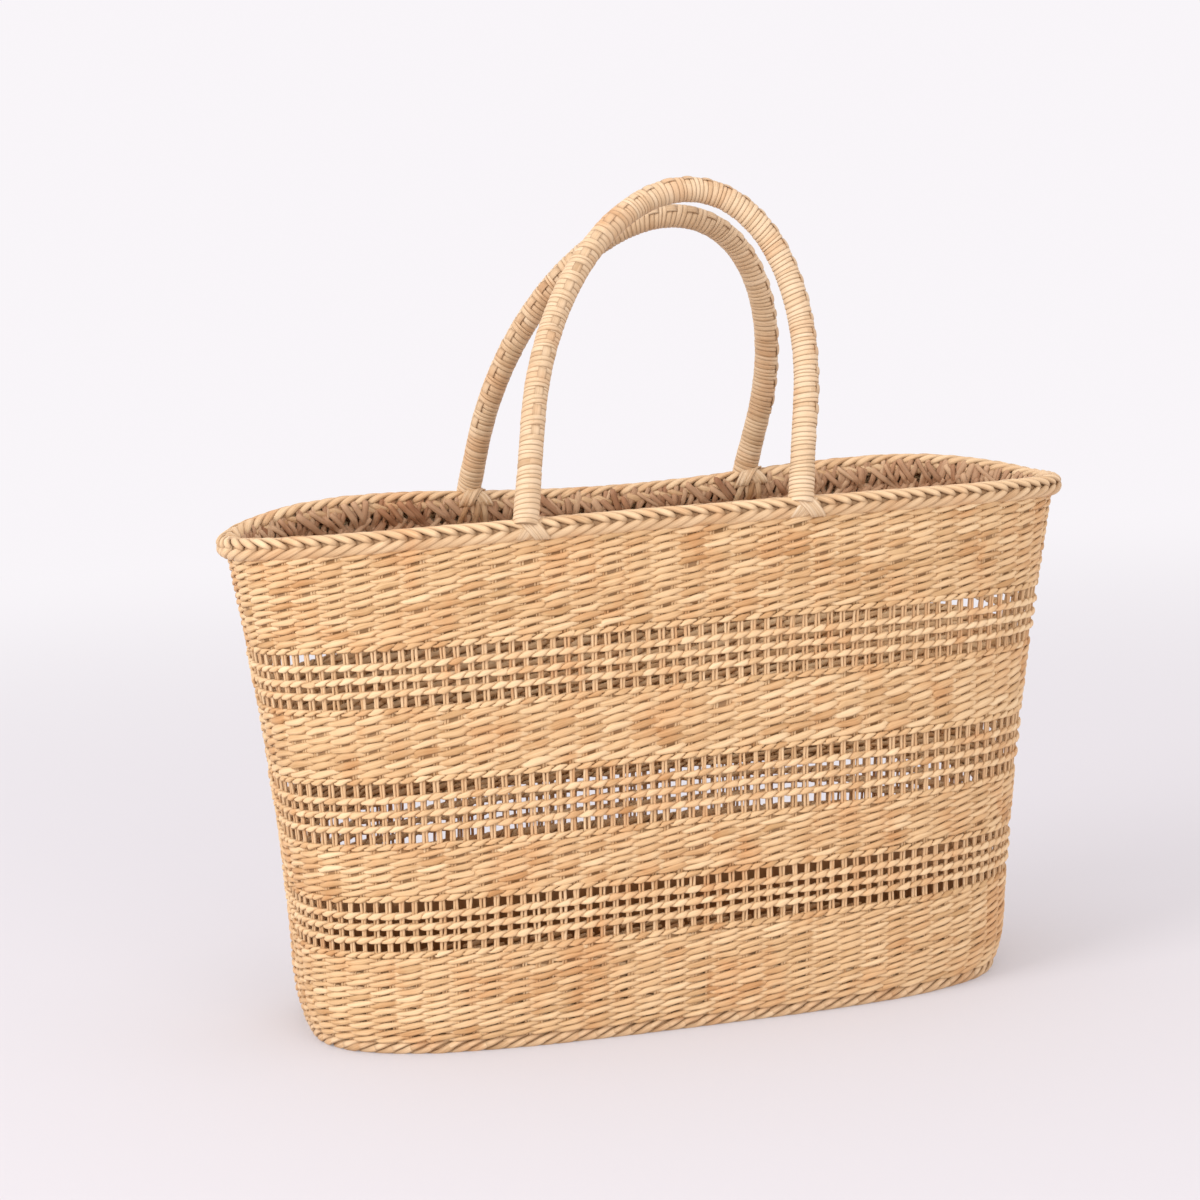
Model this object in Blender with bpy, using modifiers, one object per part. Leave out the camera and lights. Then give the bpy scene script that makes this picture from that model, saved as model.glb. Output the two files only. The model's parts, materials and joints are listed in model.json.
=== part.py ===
"""Woven market basket: a soft oblong body of twined rush with three openwork bands, a plaited rim and two
wrapped arch handles that fold outwards at the rim. Metres, +Z up, origin under the middle of the rim on the floor."""

import math

import bmesh
import bpy
from mathutils import Vector

# Driving dimensions of the body. Half lengths and depths are those of the middle of the wall.
HEIGHT = 0.274
RIM_HALF_LENGTH = 0.2305
RIM_HALF_DEPTH = 0.0750
BASE_HALF_LENGTH = 0.1945
BASE_HALF_DEPTH = 0.0930
RIM_SQUARENESS = 2.5
BASE_SQUARENESS = 3.2
FLARE_POWER = 1.5
BASE_SHIFT = -0.0143
BASE_TUCK = 0.0060
TUCK_TOP = 0.10
BACK_RIM_HUMP = 0.0085
BACK_LIFT_LOW = 0.0150
BACK_LIFT_HIGH = 0.0070
BACK_LIFT_SPREAD = 0.45
BACK_SIDE = (-0.3, 0.6)
LIFT_START = (0.05, 0.22)
LOW_LIFT_FADE = (0.60, 0.27)
HIGH_LIFT_FADE = (0.94, 0.80)
RIM_END_DROP = 0.004

GAP = 0.0003
WALL_THICKNESS = 0.005
STAKE_THICKNESS = 0.0026
TWINE_THICKNESS = 0.0013
TWINE_HEIGHT = 0.0034
BASE_THICKNESS = 0.005
FOOT_RADIUS = 0.004
BRAID_HALF_THICKNESS = 0.006
BRAID_HALF_HEIGHT = 0.007
BRAID_INSET = 0.001
BORDER_THICKNESS = 0.0015
BORDER_DEPTH = 0.024
RING_POINTS = 40
PLAN_SAMPLES = 720
ROPE_RESOLUTION = 1

# Heights of the edges of the woven bands above the floor, measured where the rim has its mean height.
FOOT_TOP = 2 * FOOT_RADIUS
LOWER_OPENWORK = (0.0555, 0.0815)
MIDDLE_OPENWORK = (0.1120, 0.1435)
UPPER_OPENWORK = (0.1830, 0.2125)
WALL_TOP = HEIGHT - 2 * BRAID_HALF_HEIGHT - 2 * GAP

# Driving dimensions of the handles. Each lies in a plane through its hinge axis that leans over the basket.
HANDLE_LEAN = math.radians(20.5)
WRAP_RADIUS = 0.0066
WRAP_THICKNESS = 0.0016
PATTERN_HALF_WIDTH = 0.0030
PATTERN_THICKNESS = 0.0008
HINGE_Y = 0.0700
HANDLE_START = 0.0065
ROOT_RADIUS = 0.0058
HANDLES = {
    "front": {"side": -1, "hinge_z": 0.2823, "middle": -0.0079, "half_span": 0.0740,
              "leg": 0.0448, "arch": 0.1210, "sway": 0.203},
    "back": {"side": 1, "hinge_z": 0.2853, "middle": -0.0034, "half_span": 0.0814,
             "leg": 0.0216, "arch": 0.1270, "sway": 0.185},
}
ARCH_STEPS = 18
LEG_SHARE = 0.12
WRAP_RESOLUTION = 2
CORE_RESOLUTION = 1
CORE_SIDES = 8

LASHING_HALF_WIDTH = 0.012
LASHING_THICKNESS = 0.0015
LASHING_REACH = math.radians(108)
LASHING_STEPS = 8
BRAID_SIDES = 8
ROOT_SIDES = 12
ROOT_HEAD_STEPS = 4
TAIL_SIZE = (0.018, 0.0016, 0.036)
TAIL_CLEARANCE = 0.0018
TAIL_EDGE = 0.0005
MERGE_DISTANCE = 0.00001

for old in list(bpy.data.objects):
    bpy.data.objects.remove(old, do_unlink=True)

basket_parts = bpy.data.collections.new("market_basket")
guides = bpy.data.collections.new("guides")
bpy.context.scene.collection.children.link(basket_parts)
bpy.context.scene.collection.children.link(guides)


def rush_material(name, colour, roughness):
    """A plain dry rush finish."""
    material = bpy.data.materials.new(name)
    material.use_nodes = True
    shader = material.node_tree.nodes["Principled BSDF"]
    shader.inputs["Base Color"].default_value = (*colour, 1.0)
    shader.inputs["Roughness"].default_value = roughness
    shader.inputs["Metallic"].default_value = 0.0
    return material


WEFT = rush_material("dense_weft", (0.62, 0.40, 0.20), 0.62)
STAKES = rush_material("bare_stakes", (0.56, 0.35, 0.17), 0.65)
TWINE = rush_material("openwork_twine", (0.68, 0.46, 0.25), 0.60)
BRAID = rush_material("plaited_rim", (0.64, 0.43, 0.23), 0.58)
INSIDE = rush_material("folded_stake_ends", (0.42, 0.24, 0.12), 0.70)
HANDLE = rush_material("handle_wrap", (0.78, 0.58, 0.36), 0.50)
LASHING = rush_material("handle_lashing", (0.74, 0.52, 0.30), 0.55)


def add_object(name, data, material, collection=basket_parts):
    """Links a new object that holds the data and wears the material."""
    obj = bpy.data.objects.new(name, data)
    collection.objects.link(obj)
    if material:
        data.materials.append(material)
    return obj


def smooth(mesh):
    """Shades a round piece smooth and keeps its edges crisp."""
    mesh.shade_smooth()
    mesh.set_sharp_from_angle(angle=math.radians(40))


def solidify(obj, thickness):
    """Gives an open surface its thickness, half of it on each side."""
    modifier = obj.modifiers.new("thickness", "SOLIDIFY")
    modifier.thickness = thickness
    modifier.offset = 0.0
    modifier.use_even_offset = True


# The plan of the wall ----------------------------------------------------------------------------------------


def wall_plan(fraction):
    """Centre x, half length, half depth and squareness of the wall at this fraction of the height."""
    flare = fraction ** FLARE_POWER
    length = BASE_HALF_LENGTH + (RIM_HALF_LENGTH - BASE_HALF_LENGTH) * flare
    depth = BASE_HALF_DEPTH + (RIM_HALF_DEPTH - BASE_HALF_DEPTH) * flare
    tuck = BASE_TUCK * max(0.0, 1 - fraction / TUCK_TOP) ** 2
    squareness = BASE_SQUARENESS + (RIM_SQUARENESS - BASE_SQUARENESS) * fraction
    return BASE_SHIFT * (1 - fraction), length - tuck, depth - tuck, squareness


def plan_point(fraction, angle):
    """Point on the superellipse of the wall, and the outward normal there."""
    centre, length, depth, power = wall_plan(fraction)
    cosine, sine = math.cos(angle), math.sin(angle)
    x = math.copysign(abs(cosine) ** (2 / power), cosine)
    y = math.copysign(abs(sine) ** (2 / power), sine)
    normal = Vector((math.copysign(abs(x) ** (power - 1) / length, x),
                     math.copysign(abs(y) ** (power - 1) / depth, y)))
    return Vector((centre + length * x, depth * y)), normal.normalized()


def plan_ring(fraction, count=RING_POINTS):
    """Points and normals round the wall, spaced evenly in half length and half turning, so corners stay round."""
    samples = [plan_point(fraction, 2 * math.pi * i / PLAN_SAMPLES) for i in range(PLAN_SAMPLES + 1)]
    perimeter = sum((b[0] - a[0]).length for a, b in zip(samples, samples[1:]))
    measure = [0.0]
    for (point_a, normal_a), (point_b, normal_b) in zip(samples, samples[1:]):
        turning = normal_a.angle(normal_b) / (2 * math.pi)
        measure.append(measure[-1] + ((point_b - point_a).length / perimeter + turning) / 2)
    ring = []
    index = 0
    for step in range(count):
        target = measure[-1] * step / count
        while measure[index + 1] <= target:
            index += 1
        share = (target - measure[index]) / (measure[index + 1] - measure[index])
        ring.append((samples[index][0].lerp(samples[index + 1][0], share),
                     samples[index][1].lerp(samples[index + 1][1], share).normalized()))
    return ring


def rim_rise(x, y):
    """How far the rim stands above its mean height: two low humps at the back, and ends that dip."""
    along = min(1.0, abs(x) / RIM_HALF_LENGTH)
    hump = BACK_RIM_HUMP * 4 * along ** 2 * (1 - along ** 2) if y > 0 else 0.0
    return hump - RIM_END_DROP * along ** 2


def smoothstep(low, high, value):
    """0 at low, 1 at high, with a smooth turn at both."""
    share = min(1.0, max(0.0, (value - low) / (high - low)))
    return share * share * (3 - 2 * share)


def band_rise(x, y, fraction):
    """How far a woven row stands above its mean height: the rim's wave, and on the back wall a lift of the
    bands between the foot and the rim."""
    along = min(1.0, abs(x) / RIM_HALF_LENGTH)
    low_lift = BACK_LIFT_LOW * smoothstep(*LOW_LIFT_FADE, fraction)
    high_lift = BACK_LIFT_HIGH * smoothstep(*HIGH_LIFT_FADE, fraction)
    share = (1 - BACK_LIFT_SPREAD * along ** 2) * smoothstep(*BACK_SIDE, y / RIM_HALF_DEPTH)
    return rim_rise(x, y) * fraction + (low_lift + high_lift) * share * smoothstep(*LIFT_START, fraction)


def wall_ring(height, outward):
    """Points of a level ring of the wall, moved outward from its middle."""
    fraction = height / HEIGHT
    ring = []
    for point, normal in plan_ring(fraction):
        moved = point + normal * outward
        ring.append(Vector((moved.x, moved.y, height + band_rise(*point, fraction))))
    return ring


def braid_centre(point, normal):
    """Middle of the plaited rim at a point of the top ring."""
    moved = point - normal * BRAID_INSET
    return Vector((moved.x, moved.y, HEIGHT - BRAID_HALF_HEIGHT + rim_rise(*point)))


# The body ----------------------------------------------------------------------------------------------------


def wall_band(name, heights, outward, thickness, material):
    """A ring of wall through these heights: open loops bridged, then given thickness."""
    mesh = bmesh.new()
    loops = [[mesh.verts.new(p) for p in wall_ring(height, outward)] for height in heights]
    for below, above in zip(loops, loops[1:]):
        for i in range(RING_POINTS):
            j = (i + 1) % RING_POINTS
            mesh.faces.new((below[i], below[j], above[j], above[i]))
    data = bpy.data.meshes.new(name)
    mesh.to_mesh(data)
    mesh.free()
    smooth(data)
    obj = add_object(name, data, material)
    solidify(obj, thickness)
    return obj


def closed_tube(name, points, radius, material):
    """A round rope that closes on itself."""
    data = bpy.data.curves.new(name, "CURVE")
    data.dimensions = "3D"
    spline = data.splines.new("POLY")
    spline.points.add(len(points) - 1)
    for target, point in zip(spline.points, points):
        target.co = (*point, 1.0)
    spline.use_cyclic_u = True
    data.twist_mode = "Z_UP"
    data.bevel_depth = radius
    data.bevel_resolution = ROPE_RESOLUTION
    return add_object(name, data, material)


def base_panel():
    """The flat woven floor inside the foot."""
    inset = FOOT_RADIUS + GAP
    outline = bpy.data.curves.new("base_panel", "CURVE")
    outline.dimensions = "2D"
    outline.fill_mode = "BOTH"
    outline.extrude = BASE_THICKNESS / 2
    spline = outline.splines.new("POLY")
    ring = plan_ring(0.0)
    spline.points.add(len(ring) - 1)
    for target, (point, normal) in zip(spline.points, ring):
        moved = point - normal * inset
        target.co = (moved.x, moved.y, 0.0, 1.0)
    spline.use_cyclic_u = True
    obj = add_object("base_panel", outline, WEFT)
    obj.location.z = BASE_THICKNESS / 2


def foot_border():
    """The thick twined rope round the edge of the base, which the basket stands on."""
    ring = [Vector((point.x, point.y, FOOT_RADIUS)) for point, _ in plan_ring(0.0)]
    closed_tube("foot_border", ring, FOOT_RADIUS, BRAID)


def dense_bands():
    """Four bands of close twining."""
    spans = {
        "bottom_dense_band": (FOOT_TOP, LOWER_OPENWORK[0]),
        "lower_dense_band": (LOWER_OPENWORK[1], MIDDLE_OPENWORK[0]),
        "upper_dense_band": (MIDDLE_OPENWORK[1], UPPER_OPENWORK[0]),
        "top_dense_band": (UPPER_OPENWORK[1], WALL_TOP),
    }
    for name, (low, high) in spans.items():
        heights = [low + GAP, high - GAP]
        if name == "bottom_dense_band":
            heights.insert(1, TUCK_TOP * HEIGHT)
        wall_band(name, heights, 0.0, WALL_THICKNESS, WEFT)


def openwork_bands():
    """Three bands of bare stakes, each crossed by three twined rows that part four rows of openings."""
    outward = (STAKE_THICKNESS + TWINE_THICKNESS) / 2 + 2 * GAP
    spans = {"lower": LOWER_OPENWORK, "middle": MIDDLE_OPENWORK, "upper": UPPER_OPENWORK}
    for place, (low, high) in spans.items():
        wall_band(f"{place}_openwork_stakes", (low + GAP, high - GAP), 0.0, STAKE_THICKNESS, STAKES)
        for row in (1, 2, 3):
            middle = low + (high - low) * row / 4
            wall_band(f"{place}_openwork_twine_{row}", (middle - TWINE_HEIGHT / 2, middle + TWINE_HEIGHT / 2),
                      outward, TWINE_THICKNESS, TWINE)


def rim_braid():
    """The plaited edge: an oval section swept round the top of the wall."""
    section = bpy.data.curves.new("braid_section", "CURVE")
    section.dimensions = "2D"
    spline = section.splines.new("POLY")
    spline.points.add(BRAID_SIDES - 1)
    for i, target in enumerate(spline.points):
        angle = -2 * math.pi * i / BRAID_SIDES
        target.co = (BRAID_HALF_THICKNESS * math.cos(angle), BRAID_HALF_HEIGHT * math.sin(angle), 0.0, 1.0)
    spline.use_cyclic_u = True
    guide = add_object("braid_section", section, None, guides)
    guide.hide_render = True
    guide.display_type = "WIRE"
    rim = closed_tube("rim_braid", [braid_centre(*item) for item in plan_ring(1.0)], 0.0, BRAID)
    rim.data.bevel_mode = "OBJECT"
    rim.data.bevel_object = guide


def inner_border():
    """The band of folded stake ends that lines the wall below the rim."""
    outward = -(WALL_THICKNESS + BORDER_THICKNESS) / 2 - 2 * GAP
    wall_band("inner_border", (WALL_TOP - BORDER_DEPTH, WALL_TOP - GAP), outward, BORDER_THICKNESS, INSIDE)


# The handles -------------------------------------------------------------------------------------------------


def arch_point(shape, turn):
    """Point of the handle's middle line in its own plane: straight legs, then half an ellipse, all swayed
    sideways. Turn goes from -1 at the left root to 1 at the right root."""
    if abs(turn) > 1 - LEG_SHARE:
        rise = shape["leg"] * (1 - abs(turn)) / LEG_SHARE
        across = math.copysign(shape["half_span"], turn)
    else:
        angle = math.pi / 2 * turn / (1 - LEG_SHARE)
        rise = shape["leg"] + shape["arch"] * math.cos(angle)
        across = shape["half_span"] * math.sin(angle)
    return Vector((shape["middle"] + across + shape["sway"] * rise, rise))


def arch_line(shape):
    """Points of the middle line, from just above one root to just above the other."""
    start = 1 - LEG_SHARE * HANDLE_START / shape["leg"]
    bend = 1 - LEG_SHARE
    turns = [bend * (2 * i / ARCH_STEPS - 1) for i in range(ARCH_STEPS + 1)]
    return [arch_point(shape, turn) for turn in (-start, *turns, start)]


def handle_curve(name, line, material, hinge, radius, resolution, caps):
    """A round tube along the arch, held by the hinge's empty."""
    data = bpy.data.curves.new(name, "CURVE")
    data.dimensions = "3D"
    spline = data.splines.new("POLY")
    spline.points.add(len(line) - 1)
    for target, point in zip(spline.points, line):
        target.co = (point.x, point.y, 0.0, 1.0)
    data.bevel_depth = radius
    data.bevel_resolution = resolution
    data.use_fill_caps = caps
    obj = add_object(name, data, material)
    obj.parent = hinge
    return obj


def handle_wrap(name, line, hinge):
    """The wrapping: an open tube made a mesh and thickened into a sleeve round the core."""
    middle_radius = WRAP_RADIUS - WRAP_THICKNESS / 2
    tube = handle_curve(name + "_line", line, None, hinge, middle_radius, WRAP_RESOLUTION, False)
    bpy.context.view_layer.update()
    data = bpy.data.meshes.new_from_object(tube.evaluated_get(bpy.context.evaluated_depsgraph_get()))
    bpy.data.objects.remove(tube, do_unlink=True)
    data.name = name
    smooth(data)
    obj = add_object(name, data, HANDLE)
    obj.parent = hinge
    solidify(obj, WRAP_THICKNESS)


def pattern_strand(name, line, hinge, side):
    """The flat strand that is woven into the outer side of the wrapping, as a flat outline along the arch."""
    outline = bpy.data.curves.new(name, "CURVE")
    outline.dimensions = "2D"
    outline.fill_mode = "BOTH"
    outline.extrude = PATTERN_THICKNESS / 2
    edges = ([], [])
    for i in range(1, len(line) - 1):
        along = (line[i + 1] - line[i - 1]).normalized()
        across = Vector((-along.y, along.x)) * PATTERN_HALF_WIDTH
        edges[0].append(line[i] + across)
        edges[1].append(line[i] - across)
    points = edges[0] + edges[1][::-1]
    spline = outline.splines.new("POLY")
    spline.points.add(len(points) - 1)
    for target, point in zip(spline.points, points):
        target.co = (point.x, point.y, 0.0, 1.0)
    spline.use_cyclic_u = True
    obj = add_object(name, outline, LASHING)
    obj.parent = hinge
    obj.location.z = -side * (WRAP_RADIUS + GAP + PATTERN_THICKNESS / 2)


def handle(place, shape):
    """One arch handle, on an empty that lies on its hinge axis and leans with it."""
    side = shape["side"]
    hinge = bpy.data.objects.new(f"{place}_handle_hinge", None)
    basket_parts.objects.link(hinge)
    hinge.location = (0.0, side * HINGE_Y, shape["hinge_z"])
    hinge.rotation_euler.x = math.pi / 2 + side * HANDLE_LEAN
    line = arch_line(shape)
    handle_wrap(f"{place}_handle_wrap", line, hinge)
    core_radius = (WRAP_RADIUS - WRAP_THICKNESS) * math.cos(math.pi / CORE_SIDES) - GAP
    handle_curve(f"{place}_handle_core", line, STAKES, hinge, core_radius, CORE_RESOLUTION, True)
    pattern_strand(f"{place}_handle_pattern_strand", line, hinge, side)


def rim_point(x, side):
    """Point and normal of the top ring's polygon at this x, on the front or the back."""
    ring = plan_ring(1.0)
    for (point_a, normal_a), (point_b, normal_b) in zip(ring, ring[1:] + ring[:1]):
        low, high = sorted((point_a.x, point_b.x))
        if low <= x <= high and point_a.y * side > 0 and point_b.y * side > 0:
            share = (x - point_a.x) / (point_b.x - point_a.x)
            return point_a.lerp(point_b, share), normal_a.lerp(normal_b, share).normalized()
    raise ValueError("no rim there")


def lashing(name, x, side):
    """The crossed binding that ties a handle root down over the braid: a saddle round the braid's section."""
    clearance = GAP + LASHING_THICKNESS / 2
    mesh = bmesh.new()
    stations = []
    for along in (-LASHING_HALF_WIDTH, 0.0, LASHING_HALF_WIDTH):
        point, normal = rim_point(x + along, side)
        centre = braid_centre(point, normal)
        row = []
        for i in range(LASHING_STEPS + 1):
            angle = math.pi / 2 + LASHING_REACH * (2 * i / LASHING_STEPS - 1)
            out = (BRAID_HALF_THICKNESS + 2 * clearance) * math.cos(angle)
            up = (BRAID_HALF_HEIGHT + clearance) * math.sin(angle)
            row.append(mesh.verts.new(centre + Vector((normal.x * out, normal.y * out, up))))
        stations.append(row)
    for row_a, row_b in zip(stations, stations[1:]):
        for i in range(LASHING_STEPS):
            mesh.faces.new((row_a[i], row_b[i], row_b[i + 1], row_a[i + 1]))
    bmesh.ops.recalc_face_normals(mesh, faces=mesh.faces)
    data = bpy.data.meshes.new(name)
    mesh.to_mesh(data)
    mesh.free()
    smooth(data)
    solidify(add_object(name, data, LASHING), LASHING_THICKNESS)


def handle_root(name, x, side, hinge_z):
    """The end of the handle's bundle that stands on the braid: a short post with a round head at the hinge."""
    point, normal = rim_point(x, side)
    lashing_top = HEIGHT + rim_rise(*point) + GAP + LASHING_THICKNESS
    data = bpy.data.meshes.new(name)
    mesh = bmesh.new()
    turns = [math.pi / 2 * i / ROOT_HEAD_STEPS for i in range(ROOT_HEAD_STEPS + 1)]
    head = [(ROOT_RADIUS * math.sin(turn), ROOT_RADIUS * math.cos(turn)) for turn in turns]
    foot = lashing_top + 2 * GAP - hinge_z
    profile = [*head, (ROOT_RADIUS, foot), (0.0, foot)]
    verts = [mesh.verts.new((radius, 0.0, up)) for radius, up in profile]
    for a, b in zip(verts, verts[1:]):
        mesh.edges.new((a, b))
    mesh.to_mesh(data)
    mesh.free()
    obj = add_object(name, data, STAKES)
    obj.location = (x, side * HINGE_Y, hinge_z)
    screw = obj.modifiers.new("turn", "SCREW")
    screw.steps = screw.render_steps = ROOT_SIDES
    screw.use_merge_vertices = True
    screw.merge_threshold = MERGE_DISTANCE


def handle_tail(name, x, side):
    """The fan of strands that anchors a handle inside the wall, below the rim."""
    middle = WALL_TOP - BORDER_DEPTH / 2 - TAIL_SIZE[2] / 4
    ends = [wall_plan((middle + half) / HEIGHT)[2] for half in (-TAIL_SIZE[2] / 2, TAIL_SIZE[2] / 2)]
    depth = sum(ends) / 2
    point, normal = rim_point(x, side)
    inward = WALL_THICKNESS / 2 + BORDER_THICKNESS + TAIL_SIZE[1] / 2 + TAIL_CLEARANCE
    sag = RIM_HALF_DEPTH - abs(point.y)
    bpy.ops.mesh.primitive_cube_add(size=1.0)
    obj = bpy.context.active_object
    obj.name = name
    obj.data.name = name
    for vertex in obj.data.vertices:
        vertex.co = [part * size for part, size in zip(vertex.co, TAIL_SIZE)]
    obj.location = (x, side * (depth - sag - inward), middle)
    obj.rotation_euler.x = side * math.atan2(ends[0] - ends[1], TAIL_SIZE[2])
    obj.rotation_euler.z = math.atan2(-normal.x * side, normal.y * side)
    obj.data.materials.append(LASHING)
    bevel = obj.modifiers.new("soft_edges", "BEVEL")
    bevel.width = TAIL_EDGE
    bevel.segments = 1
    for collection in list(obj.users_collection):
        collection.objects.unlink(obj)
    basket_parts.objects.link(obj)


def handle_fixings(place, shape):
    """The pieces that hold both ends of a handle to the rim. They don't move with it."""
    for end, across in (("left", -shape["half_span"]), ("right", shape["half_span"])):
        x = shape["middle"] + across
        lashing(f"{place}_{end}_lashing", x, shape["side"])
        handle_root(f"{place}_{end}_handle_root", x, shape["side"], shape["hinge_z"])
        handle_tail(f"{place}_{end}_handle_tail", x, shape["side"])


base_panel()
foot_border()
dense_bands()
openwork_bands()
rim_braid()
inner_border()
for handle_place, handle_shape in HANDLES.items():
    handle(handle_place, handle_shape)
    handle_fixings(handle_place, handle_shape)
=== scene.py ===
"""Looks of the woven market basket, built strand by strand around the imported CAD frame. Metres, +Z up."""

import json
import math

import bpy
import numpy as np
from mathutils import Matrix, Vector


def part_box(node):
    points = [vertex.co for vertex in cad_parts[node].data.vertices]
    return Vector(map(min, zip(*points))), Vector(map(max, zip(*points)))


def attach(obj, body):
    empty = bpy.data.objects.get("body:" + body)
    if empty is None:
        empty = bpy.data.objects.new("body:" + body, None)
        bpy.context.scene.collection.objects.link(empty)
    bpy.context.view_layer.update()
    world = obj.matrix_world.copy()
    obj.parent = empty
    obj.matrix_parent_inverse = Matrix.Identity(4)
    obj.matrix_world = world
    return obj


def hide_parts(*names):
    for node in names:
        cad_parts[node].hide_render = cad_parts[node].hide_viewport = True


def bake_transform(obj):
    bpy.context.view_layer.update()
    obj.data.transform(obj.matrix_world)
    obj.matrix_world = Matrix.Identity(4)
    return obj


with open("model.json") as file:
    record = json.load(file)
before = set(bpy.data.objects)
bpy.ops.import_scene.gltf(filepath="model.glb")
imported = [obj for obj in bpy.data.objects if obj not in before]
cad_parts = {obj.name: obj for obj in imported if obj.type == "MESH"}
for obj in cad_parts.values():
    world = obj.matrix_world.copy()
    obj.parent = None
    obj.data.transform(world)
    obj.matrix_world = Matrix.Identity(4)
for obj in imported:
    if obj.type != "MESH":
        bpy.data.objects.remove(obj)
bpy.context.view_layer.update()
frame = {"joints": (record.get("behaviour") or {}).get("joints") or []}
SEED = 20
rng = np.random.default_rng(SEED)

# Sizes from the frame ---------------------------------------------------------------------------------------


def node_size(node):
    """The size of a node's box."""
    low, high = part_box(node)
    return high - low


MM = 0.001
FOOT_RADIUS = node_size("foot_border").z / 2
FOOT_HALF_LENGTH = node_size("foot_border").x / 2 - FOOT_RADIUS
FOOT_HALF_DEPTH = node_size("foot_border").y / 2 - FOOT_RADIUS
BASE_TUCK = 0.0060
TUCK_TOP = 0.10
BASE_HALF_LENGTH = FOOT_HALF_LENGTH + BASE_TUCK
BASE_HALF_DEPTH = FOOT_HALF_DEPTH + BASE_TUCK
BASE_SHIFT = (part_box("foot_border")[0].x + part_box("foot_border")[1].x) / 2
BASE_THICKNESS = node_size("base_panel").z
HEIGHT = 0.274
BRAID_HALF_THICKNESS = 0.006
BRAID_HALF_HEIGHT = 0.007
BRAID_INSET = 0.001
PLAIT_HALF_HEIGHT = 0.0057
RIM_HALF_LENGTH = node_size("rim_braid").x / 2 - BRAID_HALF_THICKNESS + BRAID_INSET
RIM_HALF_DEPTH = node_size("rim_braid").y / 2 - BRAID_HALF_THICKNESS + BRAID_INSET
RIM_SQUARENESS = 2.5
BASE_SQUARENESS = 3.2
FLARE_POWER = 1.5
BACK_RIM_HUMP = 0.0085
BACK_LIFT_LOW = 0.0150
BACK_LIFT_HIGH = 0.0070
BACK_LIFT_SPREAD = 0.45
BACK_SIDE = (-0.3, 0.6)
LIFT_START = (0.05, 0.22)
LOW_LIFT_FADE = (0.60, 0.27)
HIGH_LIFT_FADE = (0.94, 0.80)
RIM_END_DROP = 0.004
WALL_TOP = HEIGHT - 2 * BRAID_HALF_HEIGHT
BORDER_DEPTH = 0.024

STAKE_PAIRS = 144
EDGE_PITCH = 3.7 * MM
OPENWORK_PITCH = 3.8 * MM
HANDLE_LEAN = math.radians(20.5)
WRAP_RADIUS = 0.0066
HANDLES = {
    "front": {"side": -1, "leg": 0.0448, "arch": 0.1210, "sway": 0.203},
    "back": {"side": 1, "leg": 0.0216, "arch": 0.1270, "sway": 0.185},
}
for place, shape in HANDLES.items():
    joint = next(j for j in frame["joints"] if j["child"] == f"{place}_handle")
    shape["hinge"] = joint["pos_m"]
    ends = [sum(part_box(f"{place}_{end}_handle_root"), Vector()).x / 2 for end in ("left", "right")]
    shape["middle"], shape["half_span"] = (ends[0] + ends[1]) / 2, (ends[1] - ends[0]) / 2

# Surfaces of the body ---------------------------------------------------------------------------------------


def plan(fraction, turn):
    """Points (..., 2) on the wall's superellipse and the outward normals (..., 2) there."""
    fraction, turn = np.broadcast_arrays(np.clip(fraction, 0, 1), turn)
    flare = fraction ** FLARE_POWER
    length = BASE_HALF_LENGTH + (RIM_HALF_LENGTH - BASE_HALF_LENGTH) * flare
    depth = BASE_HALF_DEPTH + (RIM_HALF_DEPTH - BASE_HALF_DEPTH) * flare
    tuck = BASE_TUCK * np.maximum(0, 1 - fraction / TUCK_TOP) ** 2
    length, depth = length - tuck, depth - tuck
    power = BASE_SQUARENESS + (RIM_SQUARENESS - BASE_SQUARENESS) * fraction
    cosine, sine = np.cos(turn), np.sin(turn)
    x = np.sign(cosine) * np.abs(cosine) ** (2 / power)
    y = np.sign(sine) * np.abs(sine) ** (2 / power)
    normal = unit(np.stack([np.sign(x) * np.abs(x) ** (power - 1) / length,
                            np.sign(y) * np.abs(y) ** (power - 1) / depth], -1))
    return np.stack([BASE_SHIFT * (1 - fraction) + length * x, depth * y], -1), normal


def unit(vectors):
    """The vectors at length 1."""
    return vectors / np.maximum(np.linalg.norm(vectors, axis=-1, keepdims=True), 1e-12)


TABLE_ROWS = 33
TABLE_STEPS = 1440
table_turns = np.linspace(0, 2 * np.pi, TABLE_STEPS + 1)
TURN_TABLE = []
for table_fraction in np.linspace(0, 1, TABLE_ROWS):
    ring, _ = plan(table_fraction, table_turns)
    reached = np.concatenate([[0], np.cumsum(np.linalg.norm(np.diff(ring, axis=0), axis=1))])
    TURN_TABLE.append(np.interp(np.linspace(0, 1, TABLE_STEPS + 1), reached / reached[-1], table_turns))
    RIM_LENGTH = reached[-1]
TURN_TABLE = np.array(TURN_TABLE)


def turn_of(around, fraction):
    """The superellipse's angle at this share of the way round, evenly spaced along the ring."""
    around, fraction = np.broadcast_arrays(around, np.clip(fraction, 0, 1))
    laps = np.floor(around)
    column = (around - laps) * TABLE_STEPS
    row = fraction * (TABLE_ROWS - 1)
    i = np.minimum(column.astype(int), TABLE_STEPS - 1)
    j = np.minimum(row.astype(int), TABLE_ROWS - 2)
    a, b = column - i, row - j
    low = TURN_TABLE[j, i] * (1 - a) + TURN_TABLE[j, i + 1] * a
    high = TURN_TABLE[j + 1, i] * (1 - a) + TURN_TABLE[j + 1, i + 1] * a
    return low * (1 - b) + high * b


def smoothstep(low, high, value):
    """0 at low, 1 at high, with a smooth turn at both."""
    t = np.clip((value - low) / (high - low), 0, 1)
    return t * t * (3 - 2 * t)


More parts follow.
